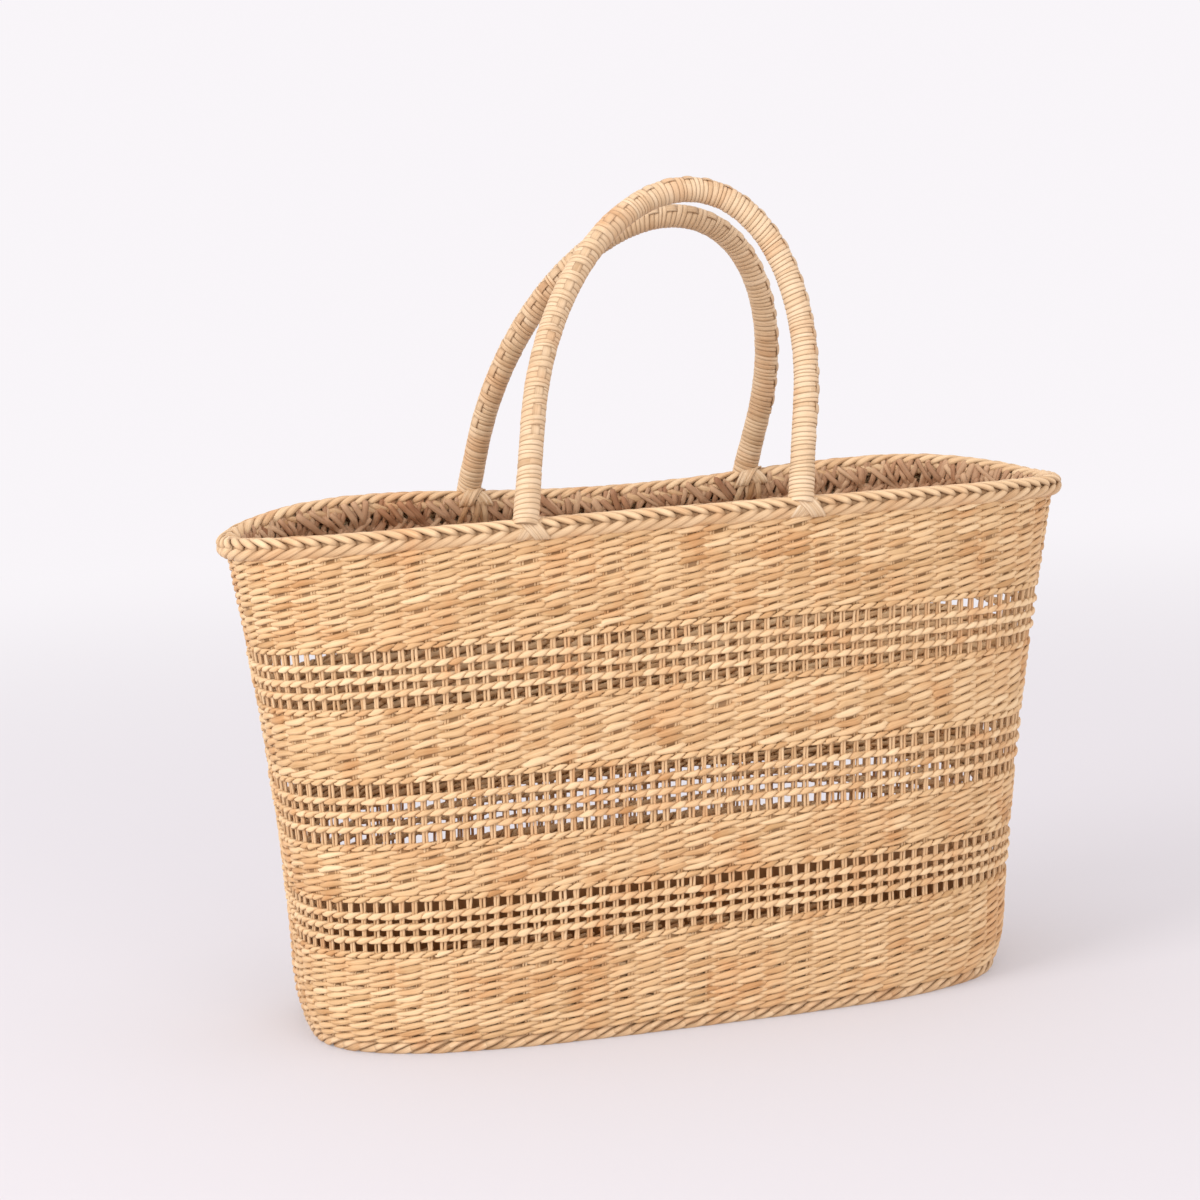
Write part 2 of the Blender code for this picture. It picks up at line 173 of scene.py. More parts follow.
def rim_rise(point):
    """How far the rim stands above its mean height: two low humps at the back, and ends that dip."""
    along = np.minimum(1, np.abs(point[..., 0]) / RIM_HALF_LENGTH) ** 2
    hump = np.where(point[..., 1] > 0, BACK_RIM_HUMP * 4 * along * (1 - along), 0)
    return hump - RIM_END_DROP * along


def band_rise(point, fraction):
    """How far a woven row stands above its mean height: the rim's wave, and a lift of the back's bands."""
    along = np.minimum(1, np.abs(point[..., 0]) / RIM_HALF_LENGTH) ** 2
    on_back = smoothstep(*BACK_SIDE, point[..., 1] / RIM_HALF_DEPTH)
    low_lift = BACK_LIFT_LOW * smoothstep(*LOW_LIFT_FADE, fraction)
    high_lift = BACK_LIFT_HIGH * smoothstep(*HIGH_LIFT_FADE, fraction)
    share = (1 - BACK_LIFT_SPREAD * along) * on_back * smoothstep(*LIFT_START, fraction)
    return rim_rise(point) * fraction + (low_lift + high_lift) * share


def on_wall(around, height, outward=0.0):
    """Point, outward normal and tangent of the wall at a height, moved outward from its middle."""
    around, height, outward = np.broadcast_arrays(around, height, outward)
    fraction = height / HEIGHT
    point, normal = plan(fraction, turn_of(around, fraction))
    moved = point + normal * outward[..., None]
    z = height + band_rise(point, fraction)
    flat = np.zeros_like(z)
    return (np.stack([moved[..., 0], moved[..., 1], z], -1),
            np.stack([normal[..., 0], normal[..., 1], flat], -1),
            np.stack([-normal[..., 1], normal[..., 0], flat], -1))


def on_braid(around, section, lift):
    """Point and outward direction on the rim's oval section. Section 0 faces out, a quarter turn is up."""
    around, section, lift = np.broadcast_arrays(around, section, lift)
    point, normal = plan(1.0, turn_of(around, 1.0))
    out = (BRAID_HALF_THICKNESS + lift) * np.cos(section) - BRAID_INSET
    up = (PLAIT_HALF_HEIGHT + lift) * np.sin(section)
    moved = point + normal * out[..., None]
    z = HEIGHT - PLAIT_HALF_HEIGHT + rim_rise(point) + up
    facing = np.stack([normal[..., 0] * np.cos(section), normal[..., 1] * np.cos(section),
                       np.sin(section)], -1)
    return np.stack([moved[..., 0], moved[..., 1], z], -1), facing


def on_foot(around, section, lift):
    """Point and outward direction on the round rope under the wall."""
    around, section, lift = np.broadcast_arrays(around, section, lift)
    point, normal = plan(0.0, turn_of(around, 0.0))
    out = (FOOT_RADIUS + lift) * np.cos(section)
    moved = point + normal * out[..., None]
    z = FOOT_RADIUS + (FOOT_RADIUS + lift) * np.sin(section)
    facing = np.stack([normal[..., 0] * np.cos(section), normal[..., 1] * np.cos(section),
                       np.sin(section)], -1)
    return np.stack([moved[..., 0], moved[..., 1], z], -1), facing


def around_at(x, side):
    """The share of the way round the rim at this x, on the front (side -1) or the back."""
    shares = np.linspace(0, 1, 8001)
    ring, _ = plan(1.0, turn_of(shares, 1.0))
    facing = ring[:, 1] * side > 0
    return float(shares[facing][np.argmin(np.abs(ring[facing, 0] - x))])


def waves(count, most):
    """A sum of random waves that closes on itself, about 1 high."""
    share = np.arange(count) / count
    order = np.arange(1, most + 1)[:, None]
    size = rng.normal(size=(most, 1)) / math.sqrt(most / 2)
    return (size * np.sin(2 * np.pi * (order * share + rng.uniform(size=(most, 1))))).sum(0)


def band_span(node):
    """The heights of a band's edges before the rim's wave and the back's lift, found from its box."""
    around = np.linspace(0, 1, 400)
    tries = np.linspace(0, HEIGHT, 1400)
    reached = on_wall(around[None], tries[:, None])[0][..., 2]
    low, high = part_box(node)
    return float(np.interp(low.z, reached.min(1), tries)), float(np.interp(high.z, reached.max(1), tries))


OPENWORK = {place: band_span(f"{place}_openwork_stakes") for place in ("lower", "middle", "upper")}

# Materials --------------------------------------------------------------------------------------------------


# How often the pattern repeats in a metre: along the strand, across it and through it.
FIBRE_SCALE = (22, 1500, 1500)
BLOTCH_SCALE = (90, 220, 220)
PATCH_SCALE = 38.0
RUDDY = (0.90, 0.70, 0.55)
# Share of the dark colour that painted shade reaches where a point's shade attribute is 0.
PAINTED_SHADE_SHARE = (0.38, 0.30, 0.24)
RELIEF_HEIGHT = 0.4 * MM


def rush(name, dark, middle, light, roughness):
    """Dry rush: streaks along each strand, a tone of its own for each float, and painted shade: the colour is
    mixed towards a dark shade colour where the shade attribute is low, as in creases.
    """
    material = bpy.data.materials.new(name)
    material.use_nodes = True
    nodes, links = material.node_tree.nodes, material.node_tree.links
    shader = nodes["Principled BSDF"]

    grain = nodes.new("ShaderNodeAttribute")
    grain.attribute_name = "grain"
    tone = nodes.new("ShaderNodeAttribute")
    tone.attribute_name = "tone"
    shade = nodes.new("ShaderNodeAttribute")
    shade.attribute_name = "shade"

    def noise(scale, detail):
        mapping = nodes.new("ShaderNodeMapping")
        mapping.inputs["Scale"].default_value = scale
        links.new(grain.outputs["Vector"], mapping.inputs["Vector"])
        texture = nodes.new("ShaderNodeTexNoise")
        texture.inputs["Scale"].default_value = 1.0
        texture.inputs["Detail"].default_value = detail
        links.new(mapping.outputs["Vector"], texture.inputs["Vector"])
        return texture.outputs["Fac"]

    def maths(operation, *values):
        node = nodes.new("ShaderNodeMath")
        node.operation = operation
        for socket, value in zip(node.inputs, values):
            if hasattr(value, "links"):
                links.new(value, socket)
            else:
                socket.default_value = value
        return node.outputs[0]

    streaks = noise(FIBRE_SCALE, 3)
    blotches = noise(BLOTCH_SCALE, 2)
    place_node = nodes.new("ShaderNodeTexCoord")
    patches = nodes.new("ShaderNodeTexNoise")
    patches.inputs["Scale"].default_value = PATCH_SCALE
    patches.inputs["Detail"].default_value = 3.0
    patches.inputs["Distortion"].default_value = 0.6
    links.new(place_node.outputs["Object"], patches.inputs["Vector"])
    mixed = maths("ADD", tone.outputs["Fac"], maths("MULTIPLY_ADD", streaks, 0.9, -0.45))
    mixed = maths("ADD", mixed, maths("MULTIPLY_ADD", blotches, 0.5, -0.25))
    ramp = nodes.new("ShaderNodeValToRGB")
    ramp.color_ramp.elements[0].position = 0.0
    ramp.color_ramp.elements[0].color = (*dark, 1)
    ramp.color_ramp.elements[1].position = 1.0
    ramp.color_ramp.elements[1].color = (*light, 1)
    middle_stop = ramp.color_ramp.elements.new(0.45)
    middle_stop.color = (*middle, 1)
    links.new(mixed, ramp.inputs["Fac"])
    ruddy = nodes.new("ShaderNodeMix")
    ruddy.data_type = "RGBA"
    ruddy.blend_type = "MULTIPLY"
    ruddy.inputs["B"].default_value = (*RUDDY, 1)
    ripe = nodes.new("ShaderNodeMapRange")
    ripe.inputs["From Min"].default_value = 0.50
    ripe.inputs["From Max"].default_value = 0.78
    ripe.inputs["To Max"].default_value = 0.75
    links.new(maths("ADD", patches.outputs["Fac"], maths("MULTIPLY_ADD", tone.outputs["Fac"], -0.35, 0.175)),
              ripe.inputs["Value"])
    links.new(ripe.outputs["Result"], ruddy.inputs["Factor"])
    links.new(ramp.outputs["Color"], ruddy.inputs["A"])
    # Painted shade: the colour is mixed towards the dark shade colour as the shade attribute falls below 1.
    painted_shade_mix = nodes.new("ShaderNodeMix")
    painted_shade_mix.data_type = "RGBA"
    painted_shade_mix.blend_type = "MIX"
    painted_shade_mix.inputs["A"].default_value = (*(part * share for part, share in zip(dark, PAINTED_SHADE_SHARE)), 1)
    links.new(shade.outputs["Fac"], painted_shade_mix.inputs["Factor"])
    links.new(ruddy.outputs["Result"], painted_shade_mix.inputs["B"])
    links.new(painted_shade_mix.outputs["Result"], shader.inputs["Base Color"])

    links.new(maths("MULTIPLY_ADD", streaks, 0.3, roughness - 0.15), shader.inputs["Roughness"])
    relief = nodes.new("ShaderNodeBump")
    relief.inputs["Strength"].default_value = 0.5
    relief.inputs["Distance"].default_value = RELIEF_HEIGHT
    links.new(streaks, relief.inputs["Height"])
    links.new(relief.outputs["Normal"], shader.inputs["Normal"])
    shader.inputs["Specular IOR Level"].default_value = 0.35
    return material


WEFT = rush("dense_weft_rush", (0.54, 0.32, 0.140), (0.735, 0.478, 0.248), (0.87, 0.64, 0.38), 0.62)
TWINE = rush("openwork_rush", (0.54, 0.315, 0.135), (0.75, 0.49, 0.26), (0.88, 0.65, 0.39), 0.60)
STAKE = rush("stake_rush", (0.44, 0.25, 0.11), (0.66, 0.42, 0.22), (0.80, 0.57, 0.34), 0.64)
PLAIT = rush("plaited_rush", (0.50, 0.30, 0.14), (0.71, 0.47, 0.26), (0.85, 0.62, 0.38), 0.60)
FOLDED = rush("folded_rush", (0.33, 0.172, 0.09), (0.475, 0.272, 0.152), (0.62, 0.40, 0.235), 0.66)
BINDING = rush("binding_rush", (0.46, 0.285, 0.145), (0.68, 0.475, 0.285), (0.79, 0.605, 0.41), 0.56)

# Strands ----------------------------------------------------------------------------------------------------


FULLNESS = 0.85


class Piece:
    """Strands gathered into one mesh, with each point's place along its strand, tone and shade."""

    def __init__(self, name, material, slot, body="basket", replaces=()):
        self.name, self.material, self.slot, self.body = name, material, slot, body
        self.replaces = replaces
        self.points, self.faces, self.grain, self.tone, self.shade = [], [], [], [], []
        self.count = 0

    def add_rings(self, points, grain, tone, shade, closed=False):
        """Tubes from rings (strands, steps, sides, 3). Open ones get flat ends."""
        strands, steps, sides = points.shape[:3]
        index = self.count + np.arange(strands * steps * sides).reshape(strands, steps, sides)
        near, far = (index, np.roll(index, -1, 1)) if closed else (index[:, :-1], index[:, 1:])
        quads = np.stack([near, np.roll(near, -1, 2), np.roll(far, -1, 2), far], -1)
        self.faces.append(quads.reshape(-1, 4))
        if not closed:
            self.faces.append(index[:, 0, ::-1].reshape(-1, sides))
            self.faces.append(index[:, -1].reshape(-1, sides))
        self.count += index.size
        self.points.append(points.reshape(-1, 3))
        self.grain.append(np.broadcast_to(grain, points.shape).reshape(-1, 3))
        for store, values in ((self.tone, tone), (self.shade, shade)):
            store.append(np.broadcast_to(values, points.shape[:3]).reshape(-1))

    def add(self, path, outward, half_width, half_depth, tone=0.5, closed=False, sides=8, shade=1.0,
            edge_shade=0.28):
        """Strands (strands, steps, 3) of oval section, wide across the surface that outward points from."""
        size = path.shape[:2]
        half_width, half_depth, tone, shade = (np.broadcast_to(v, size)[..., None] for v in
                                               (half_width, half_depth, tone, shade))
        if closed:
            along = unit(np.roll(path, -1, 1) - np.roll(path, 1, 1))
        else:
            along = unit(np.gradient(path, axis=1))
        deep = unit(outward - (outward * along).sum(-1, keepdims=True) * along)
        wide = np.cross(deep, along)
        angle = 2 * np.pi * np.arange(sides) / sides
        across = half_width * np.sign(np.cos(angle)) * np.abs(np.cos(angle)) ** FULLNESS
        above = half_depth * np.sign(np.sin(angle)) * np.abs(np.sin(angle)) ** FULLNESS
        points = (path[:, :, None] + across[..., None] * wide[:, :, None]
                  + above[..., None] * deep[:, :, None])
        steps = np.linalg.norm(np.diff(path, axis=1), axis=-1)
        reached = np.concatenate([np.zeros((size[0], 1)), np.cumsum(steps, 1)], 1)
        number = rng.uniform(0, 40, (size[0], 1))
        grain = np.stack([np.broadcast_to((reached + number)[..., None], across.shape), across, above], -1)
        # Painted shade: the strand's sides are darkened by edge_shade, on top of the shade given.
        edge = 1 - edge_shade * np.abs(np.cos(angle)) ** 3
        self.add_rings(points, grain, tone, shade * edge, closed)

    def build(self):
        """Makes the mesh, links it and hands it to its body."""
        mesh = bpy.data.meshes.new(self.name)
        points = np.concatenate(self.points).astype(np.float32)
        corners = np.concatenate([f.ravel() for f in self.faces]).astype(np.int32)
        sizes = np.concatenate([np.full(len(f), f.shape[1]) for f in self.faces])
        mesh.vertices.add(len(points))
        mesh.vertices.foreach_set("co", points.ravel())
        mesh.loops.add(len(corners))
        mesh.polygons.add(len(sizes))
        mesh.polygons.foreach_set("loop_start", np.concatenate([[0], np.cumsum(sizes)[:-1]]).astype(np.int32))
        mesh.polygons.foreach_set("vertices", corners)
        mesh.update(calc_edges=True)
        mesh.shade_smooth()
        for label, kind, key, parts in (("grain", "FLOAT_VECTOR", "vector", self.grain),
                                        ("tone", "FLOAT", "value", self.tone),
                                        ("shade", "FLOAT", "value", self.shade)):
            layer = mesh.attributes.new(label, kind, "POINT")
            layer.data.foreach_set(key, np.concatenate(parts).astype(np.float32).ravel())
        mesh.materials.append(self.material)
        obj = bpy.data.objects.new(self.name, mesh)
        bpy.context.scene.collection.objects.link(obj)
        if self.body:
            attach(obj, self.body)
        if self.replaces:
            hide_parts(*self.replaces)
        return obj


# A twined row: how far out its floats stand, how thick they are, how far they rise for their pitch, and how
# wide they are at the ends and how much more in the middle.
DENSE_FLOATS = {"steps": 8, "radius": 1.15 * MM, "depth": 1.0 * MM, "rise": 0.32, "narrow": 0.66,
                "swell": 0.24, "tone": 0.42}
EDGE_FLOATS = {**DENSE_FLOATS, "rise": 0.27, "narrow": 0.46, "swell": 0.46}
OPENWORK_FLOATS = {"steps": 10, "radius": 1.45 * MM, "depth": 1.05 * MM, "rise": 0.25, "narrow": 0.52,
                   "swell": 0.46, "tone": 0.56}
FLOAT_OVERLAP = 0.17


def twined_row(piece, height, pitch, groups, first, steps, radius, depth, rise, narrow, swell, tone):
    """Two strands twisted round the stakes, one float per group of stakes, each float rising to the right."""
    count = groups * steps
    around = np.arange(count) / count
    wander = waves(count, 11) * 0.20 * MM
    row_tone = rng.normal() * 0.04
    reached = [on_wall(around, height + part * pitch / 2)[0][:, 2] for part in (-1, 1)]
    stretch = (reached[1] - reached[0]) / pitch
    for strand in (0, 1):
        turn = np.pi * (groups * (around - first) + strand)
        front, swing = np.cos(turn), np.sin(turn)
        number = np.floor(turn / np.pi + 0.5).astype(int) % groups
        float_slip = rng.normal(size=groups)
        float_shift = rng.normal(size=groups) * 0.18 * MM
        float_tone = rng.normal(size=groups) * 0.12
        splice = np.repeat(rng.normal(size=groups // 6 + 1) * 0.07, 6)[:groups]
        float_size = 1 + rng.normal(size=groups) * 0.07
        float_lift = rng.normal(size=groups) * 0.12 * MM
        # Each float outlasts its half turn a little, so that its ends overlap the next ones.
        ahead = (front + FLOAT_OVERLAP) / (1 + FLOAT_OVERLAP)
        lift = radius * np.sign(ahead) * np.abs(ahead) ** 0.5 + float_lift[number] * np.abs(front)
        slip = float_slip[number] * 0.12 / groups * front ** 2
        climb = np.arcsin(0.97 * swing) / np.arcsin(0.97)
        up = rise * pitch * climb + float_shift[number] * front ** 2 + wander
        path, normal, _ = on_wall(around + slip, height + up, lift)
        width = stretch * pitch / 2 * (narrow + swell * front ** 2) * float_size[number]
        # Painted light and shade: each float is lightest in the middle of its outer side; on the wall's inner
        # side it gets a slightly lower shade and a lighter tone, which stands in for light reaching the
        # basket's inside. Its sides are darkened by edge_shade.
        outside = smoothstep(-0.3, 0.3, front)
        shade = 0.90 + outside * 0.10 * np.abs(front) ** 0.5
        piece.add(path[None], normal[None], width[None], depth, closed=True, sides=10, edge_shade=0.42,
                  tone=(tone + row_tone + (float_tone + splice)[number] + 0.22 * (1 - outside))[None],
                  shade=shade[None])


STAKE_SPREAD = 0.74 * MM
STAKE_HALF_WIDTH = 0.78 * MM
STAKE_HALF_DEPTH = 0.75 * MM


def stake_pairs(piece, low, high, steps, bare):
    """The pairs of upright strands between two heights. Bare ones bow a little between the twined rows."""
    share = np.arange(STAKE_PAIRS)[:, None] / STAKE_PAIRS
    climb = np.linspace(0, 1, steps)[None]
    height = low + (high - low) * climb
    for side in (-1, 1):
        lean = rng.normal(size=(STAKE_PAIRS, 1)) * 0.26 * MM * bare
        bow = rng.normal(size=(STAKE_PAIRS, 1)) * 0.30 * MM * bare
        spread = STAKE_SPREAD + bare * 0.08 * MM * np.abs(np.sin(4 * np.pi * climb))
        point, normal, tangent = on_wall(share, height, rng.normal(size=(STAKE_PAIRS, 1)) * 0.12 * MM)
        path = point + tangent * (side * spread + lean * (climb - 0.5) * 2
                                  + bow * np.sin(np.pi * climb))[..., None]
        width = STAKE_HALF_WIDTH + rng.normal(size=(STAKE_PAIRS, 1)) * 0.06 * MM
        # Painted shade: stakes inside the dense bands, hidden between the floats, get a shade of 0.8.
        piece.add(path, normal, width, STAKE_HALF_DEPTH, sides=8 if bare else 6,
                  tone=0.5 + rng.normal(size=(STAKE_PAIRS, 1)) * 0.13, shade=1.0 if bare else 0.8)


def painted_shade_core(piece, low, high, steps=720):
    """A closed sheet in the middle of a dense band's wall, dark with painted shade and a low tone, seen only
    as dark specks between the floats.
    """
    around = np.arange(steps)[:, None] / steps
    corners = ((low, 0.3), (low, -0.3), (high, -0.3), (high, 0.3))
    path = np.concatenate([on_wall(around, height, inset * MM)[0] for height, inset in corners], 1)
    grain = np.stack([path[..., 0], path[..., 1] * 0.1, path[..., 2] * 0.1], -1)
    # Painted shade: tone 0.3 and shade 0.35 make the sheet dark where it shows between the floats.
    piece.add_rings(path[None], grain[None], 0.3, 0.35, closed=True)


def dense_band(place, low, high, rows, edge_below, edge_above, parts):
    """A band of close twining over two stake pairs, with a row over single pairs at each edge of openwork."""
    bottom = low + EDGE_PITCH * edge_below
    top = high - EDGE_PITCH * edge_above
    pitch = (top - bottom) / rows
    heights = bottom + pitch * (np.arange(rows) + 0.5)
    for part, chosen in enumerate(np.array_split(heights, parts)):
        replaced = (f"{place}_dense_band",) if part == 0 else ()
        piece = Piece(f"{place}_dense_rows_{part + 1}", WEFT, "dense_weft", replaces=replaced)
        for height in chosen:
            twined_row(piece, height, pitch, STAKE_PAIRS // 2, 0.5 / STAKE_PAIRS, **DENSE_FLOATS)
        if part == 0:
            stake_pairs(piece, low, high, 6, 0)
            painted_shade_core(piece, low + 0.5 * MM, high - 0.5 * MM)
        piece.build()
    edges = [low + EDGE_PITCH / 2] * edge_below + [high - EDGE_PITCH / 2] * edge_above
    piece = Piece(f"{place}_edge_rows", WEFT, "dense_weft")
    for height in edges:
        twined_row(piece, height, EDGE_PITCH, STAKE_PAIRS, 0.0, **EDGE_FLOATS)
    piece.build()


def openwork_band(place, low, high):
    """Bare stake pairs crossed by three twined rows, one float to each pair."""
    piece = Piece(f"{place}_openwork_stake_pairs", STAKE, "bare_stakes",
                  replaces=(f"{place}_openwork_stakes",))
    stake_pairs(piece, low - EDGE_PITCH / 2, high + EDGE_PITCH / 2, 17, 1)
    piece.build()
    for row in (1, 2, 3):
        name = f"{place}_openwork_twine_{row}"
        piece = Piece(f"{place}_twined_row_{row}", TWINE, "openwork_twine", replaces=(name,))
        middle = low + (high - low) * row / 4
        twined_row(piece, middle, OPENWORK_PITCH, STAKE_PAIRS, 0.0, **OPENWORK_FLOATS)
        piece.build()


OVAL_SPACING = 5.2 * MM
CROSS_SPACING = 7 * MM


def base_panel():
    """The flat floor: twined ovals, one inside the other, over strands that run across."""
    piece = Piece("woven_base", WEFT, "dense_weft", replaces=("base_panel",))
    middle = BASE_THICKNESS / 2
    for ring in range(int((FOOT_HALF_DEPTH - FOOT_RADIUS) / OVAL_SPACING)):
        inset = FOOT_RADIUS + 2.4 * MM + ring * OVAL_SPACING
        groups = max(12, int(2.2 * (FOOT_HALF_LENGTH + FOOT_HALF_DEPTH - 2 * inset) / (12 * MM)) * 2)
        count = groups * 6
        turns = turn_of(np.arange(count) / count, 0.0)
        point, normal = plan(0.0, turns)
        for strand in (0, 1):
            turn = np.pi * (groups * np.arange(count) / count + strand)
            shift = -inset + 1.2 * MM * np.sin(turn)
            shrink = np.array([FOOT_HALF_LENGTH - inset, FOOT_HALF_DEPTH - inset]) / (
                FOOT_HALF_LENGTH, FOOT_HALF_DEPTH)
            flat = (point - (BASE_SHIFT, 0)) * shrink + (BASE_SHIFT, 0) + normal * (shift + inset)[:, None]
            z = middle + 1.15 * MM * np.cos(turn)
            path = np.column_stack([flat, z])[None]
            up = np.zeros_like(path)
            up[..., 2] = 1
            piece.add(path, up, 2.1 * MM, 0.8 * MM, closed=True, sides=6,
                      tone=0.42 + 0.1 * rng.normal(), shade=0.9)
    xs = np.arange(12 * MM - FOOT_HALF_LENGTH, FOOT_HALF_LENGTH - 10 * MM, CROSS_SPACING)[:, None]
    roundness = (1 - np.abs(xs / FOOT_HALF_LENGTH) ** BASE_SQUARENESS) ** (1 / BASE_SQUARENESS)
    reach = (FOOT_HALF_DEPTH - FOOT_RADIUS - 3 * MM) * roundness
    ys = np.linspace(-1, 1, 12)[None] * reach
    path = np.stack([np.broadcast_to(xs + BASE_SHIFT, ys.shape), ys, np.full(ys.shape, middle)], -1)
    up = np.zeros_like(path)
    up[..., 2] = 1
    piece.add(path, up, 1.6 * MM, 0.7 * MM, sides=6, tone=0.4)
    piece.build()


def stitches(piece, surface, ring_length, count, reach, sections, lift, half_width, half_depth, tone, offset):
    """Slanted stitches laid round a rope, each from the first section angle to the last."""
    t = np.linspace(0, 1, 18)[None]
    first = (np.arange(count)[:, None] + offset + rng.normal(size=(count, 1)) * 0.04) / count
    around = first + reach / ring_length * t
    start, end = (math.radians(a) + rng.normal(size=(count, 1)) * 0.03 for a in sections)
    section = start + (end - start) * t
    path, facing = surface(around, section, lift(t) + rng.normal(size=(count, 1)) * 0.12 * MM)
    width = half_width(t) * (1 + rng.normal(size=(count, 1)) * 0.06)
    # Painted shade: each stitch darkens towards both ends, where it tucks under its neighbours, and along its
    # sides through edge_shade.
    shade = 1 - 0.5 * smoothstep(0.80, 1.0, t) - 0.3 * smoothstep(0.15, 0.0, t)
    piece.add(path, facing, width, half_depth, tone=tone + rng.normal(size=(count, 1)) * 0.10,
              shade=np.broadcast_to(shade, width.shape), sides=10, edge_shade=0.55)


def rope_core(piece, surface, inset):
    """The hidden strands inside a rope, that the stitches lie on. A low tone and painted shade make them
    dark, as they show only between the stitches.
    """
    around = np.arange(900)[:, None] / 900
    section = 2 * np.pi * np.arange(16)[None] / 16
    path, _ = surface(around, section, -inset)
    length = np.broadcast_to(around, path.shape[:2])
    grain = np.stack([length, np.broadcast_to(section, length.shape) * 0.01, length], -1)
    piece.add_rings(path[None], grain[None], 0.35, 0.55, closed=True)


RIM_STITCH_SPACING = 8.8 * MM
FOOT_STITCH_SPACING = 9.6 * MM


def rim():
    """The plaited rim. Two families of stitches meet in a row of arrow heads on each side."""
    piece = Piece("plaited_rim", PLAIT, "plaited_rush", replaces=("rim_braid",))
    rope_core(piece, on_braid, 1.9 * MM)
    count = 2 * round(RIM_LENGTH / RIM_STITCH_SPACING / 2)
    for face, offset in ((1, 0.0), (-1, 0.5)):
        # On the inner face the same stitches are mirrored about the rim's middle.
        spine, far, top = (14, -84, 104) if face == 1 else (166, 264, 76)
        stitches(piece, on_braid, RIM_LENGTH, count, 21 * MM, (far, spine),
                 lambda t: (-1.25 + 0.75 * np.sin(np.pi * t) - 0.9 * smoothstep(0.82, 1.0, t)) * MM,
                 lambda t: (1.0 + 1.15 * np.sin(np.pi * (0.12 + 0.8 * t)) ** 0.6) * MM, 1.20 * MM, 0.50,
                 offset)
        stitches(piece, on_braid, RIM_LENGTH, count, 17 * MM, (top, spine),
                 lambda t: (-0.95 + 0.65 * smoothstep(0.1, 0.6, t) - 1.6 * smoothstep(0.86, 1.0, t)) * MM,
                 lambda t: (1.0 + 1.10 * np.sin(np.pi * (0.2 + 0.7 * t)) ** 0.6) * MM, 1.20 * MM, 0.54,
                 offset + 0.4)
    piece.build()


def foot():
    """The rope-like edge that the basket stands on: two rows of thick slanted stitches."""
    piece = Piece("foot_rope", PLAIT, "plaited_rush", replaces=("foot_border",))
    rope_core(piece, on_foot, 1.2 * MM)
    ring, _ = plan(0.0, turn_of(np.linspace(0, 1, 2001), 0.0))
    length = float(np.linalg.norm(np.diff(ring, axis=0), axis=1).sum())
    count = 2 * round(length / FOOT_STITCH_SPACING / 2)
    stitches(piece, on_foot, length, count, 19 * MM, (-150, 35),
             lambda t: (-1.0 + 0.35 * np.sin(np.pi * t) - 0.8 * smoothstep(0.75, 1.0, t)) * MM,
             lambda t: (1.95 - 0.6 * smoothstep(0.7, 1.0, t)) * MM, 1.0 * MM, 0.50, 0.0)
    stitches(piece, on_foot, length, count, 19 * MM, (-5, 150),
             lambda t: (-0.9 + 0.4 * np.sin(np.pi * t)) * MM,
             lambda t: (1.7 - 0.3 * smoothstep(0.7, 1.0, t)) * MM, 0.95 * MM, 0.50, 0.5)
    piece.build()


# Families of folded ends: lean along the rim, millimetres inwards, how many, and where on the border's height
# they start and end.
BORDER_FAMILIES = (
    (11 * MM, 0.0, 300, 0.0, 1.0),
    (-15 * MM, 0.9, 190, 0.42, 0.98),
    (-16 * MM, 1.3, 150, 0.08, 0.60),
    (17 * MM, 1.9, 140, 0.35, 0.90),
)
CORD_TWIST = 7.2 * MM


def inner_border():
    """Stake ends folded down inside the rim. They cross each other in layers."""
    piece = Piece("folded_ends", FOLDED, "folded_ends", replaces=("inner_border",))
    t = np.linspace(0, 1, 14)[None]
    for slant, inward, count, top, bottom in BORDER_FAMILIES:
        start = (np.arange(count)[:, None] + rng.normal(size=(count, 1)) * 0.22) / count
        lean = slant * (1 + rng.normal(size=(count, 1)) * 0.45)
        around = start + lean / RIM_LENGTH * (t ** 1.2)
        drop = BORDER_DEPTH * (1 + rng.normal(size=(count, 1)) * 0.08)
        fallen = top + (bottom - top) * t + rng.normal(size=(count, 1)) * 0.05
        height = WALL_TOP + 11.5 * MM - (drop + 9 * MM) * np.clip(fallen, 0, 1.05)
        over_braid = smoothstep(WALL_TOP - 3 * MM, WALL_TOP + 2 * MM, height)
        inset = -(3.9 + inward * (0.7 + 0.5 * rng.uniform(size=(count, 1))) + 3.0 * over_braid) * MM
        inset = inset + 1.6 * MM * smoothstep(0.12, 0.0, t) + 1.2 * MM * smoothstep(0.88, 1.0, t)
        inset = inset - 0.7 * MM * np.sin(np.pi * t)
        path, normal, _ = on_wall(around, height, inset)
        width = (1.65 + rng.normal(size=(count, 1)) * 0.25) * MM
        # Painted shade: each folded end darkens towards its lower end.
        piece.add(path, -normal, width, 0.75 * MM, tone=0.58 + rng.normal(size=(count, 1)) * 0.20,
                  shade=np.broadcast_to(1 - 0.2 * t, around.shape))
    piece.build()


def border_cord():
    """The thin two-ply cord that runs round the folded ends."""
    piece = Piece("border_cords", FOLDED, "folded_ends")
    groups = 2 * round(RIM_LENGTH / CORD_TWIST / 2)
    count = groups * 6
    around = np.arange(count) / count
    height = WALL_TOP - BORDER_DEPTH + 6 * MM + waves(count, 9) * 0.5 * MM
    for strand in (0, 1):
        turn = np.pi * (groups * around + strand)
        path, normal, _ = on_wall(around, height + 0.7 * MM * np.sin(turn), (0.6 * np.cos(turn) - 6.6) * MM)
        piece.add(path[None], -normal[None], 0.9 * MM, 0.6 * MM, closed=True, sides=6, tone=0.62)
    piece.build()


# Handles ----------------------------------------------------------------------------------------------------

LEG_SHARE = 0.12
ROOT_DEPTH = 0.013
BLENDED_LEG = 0.030


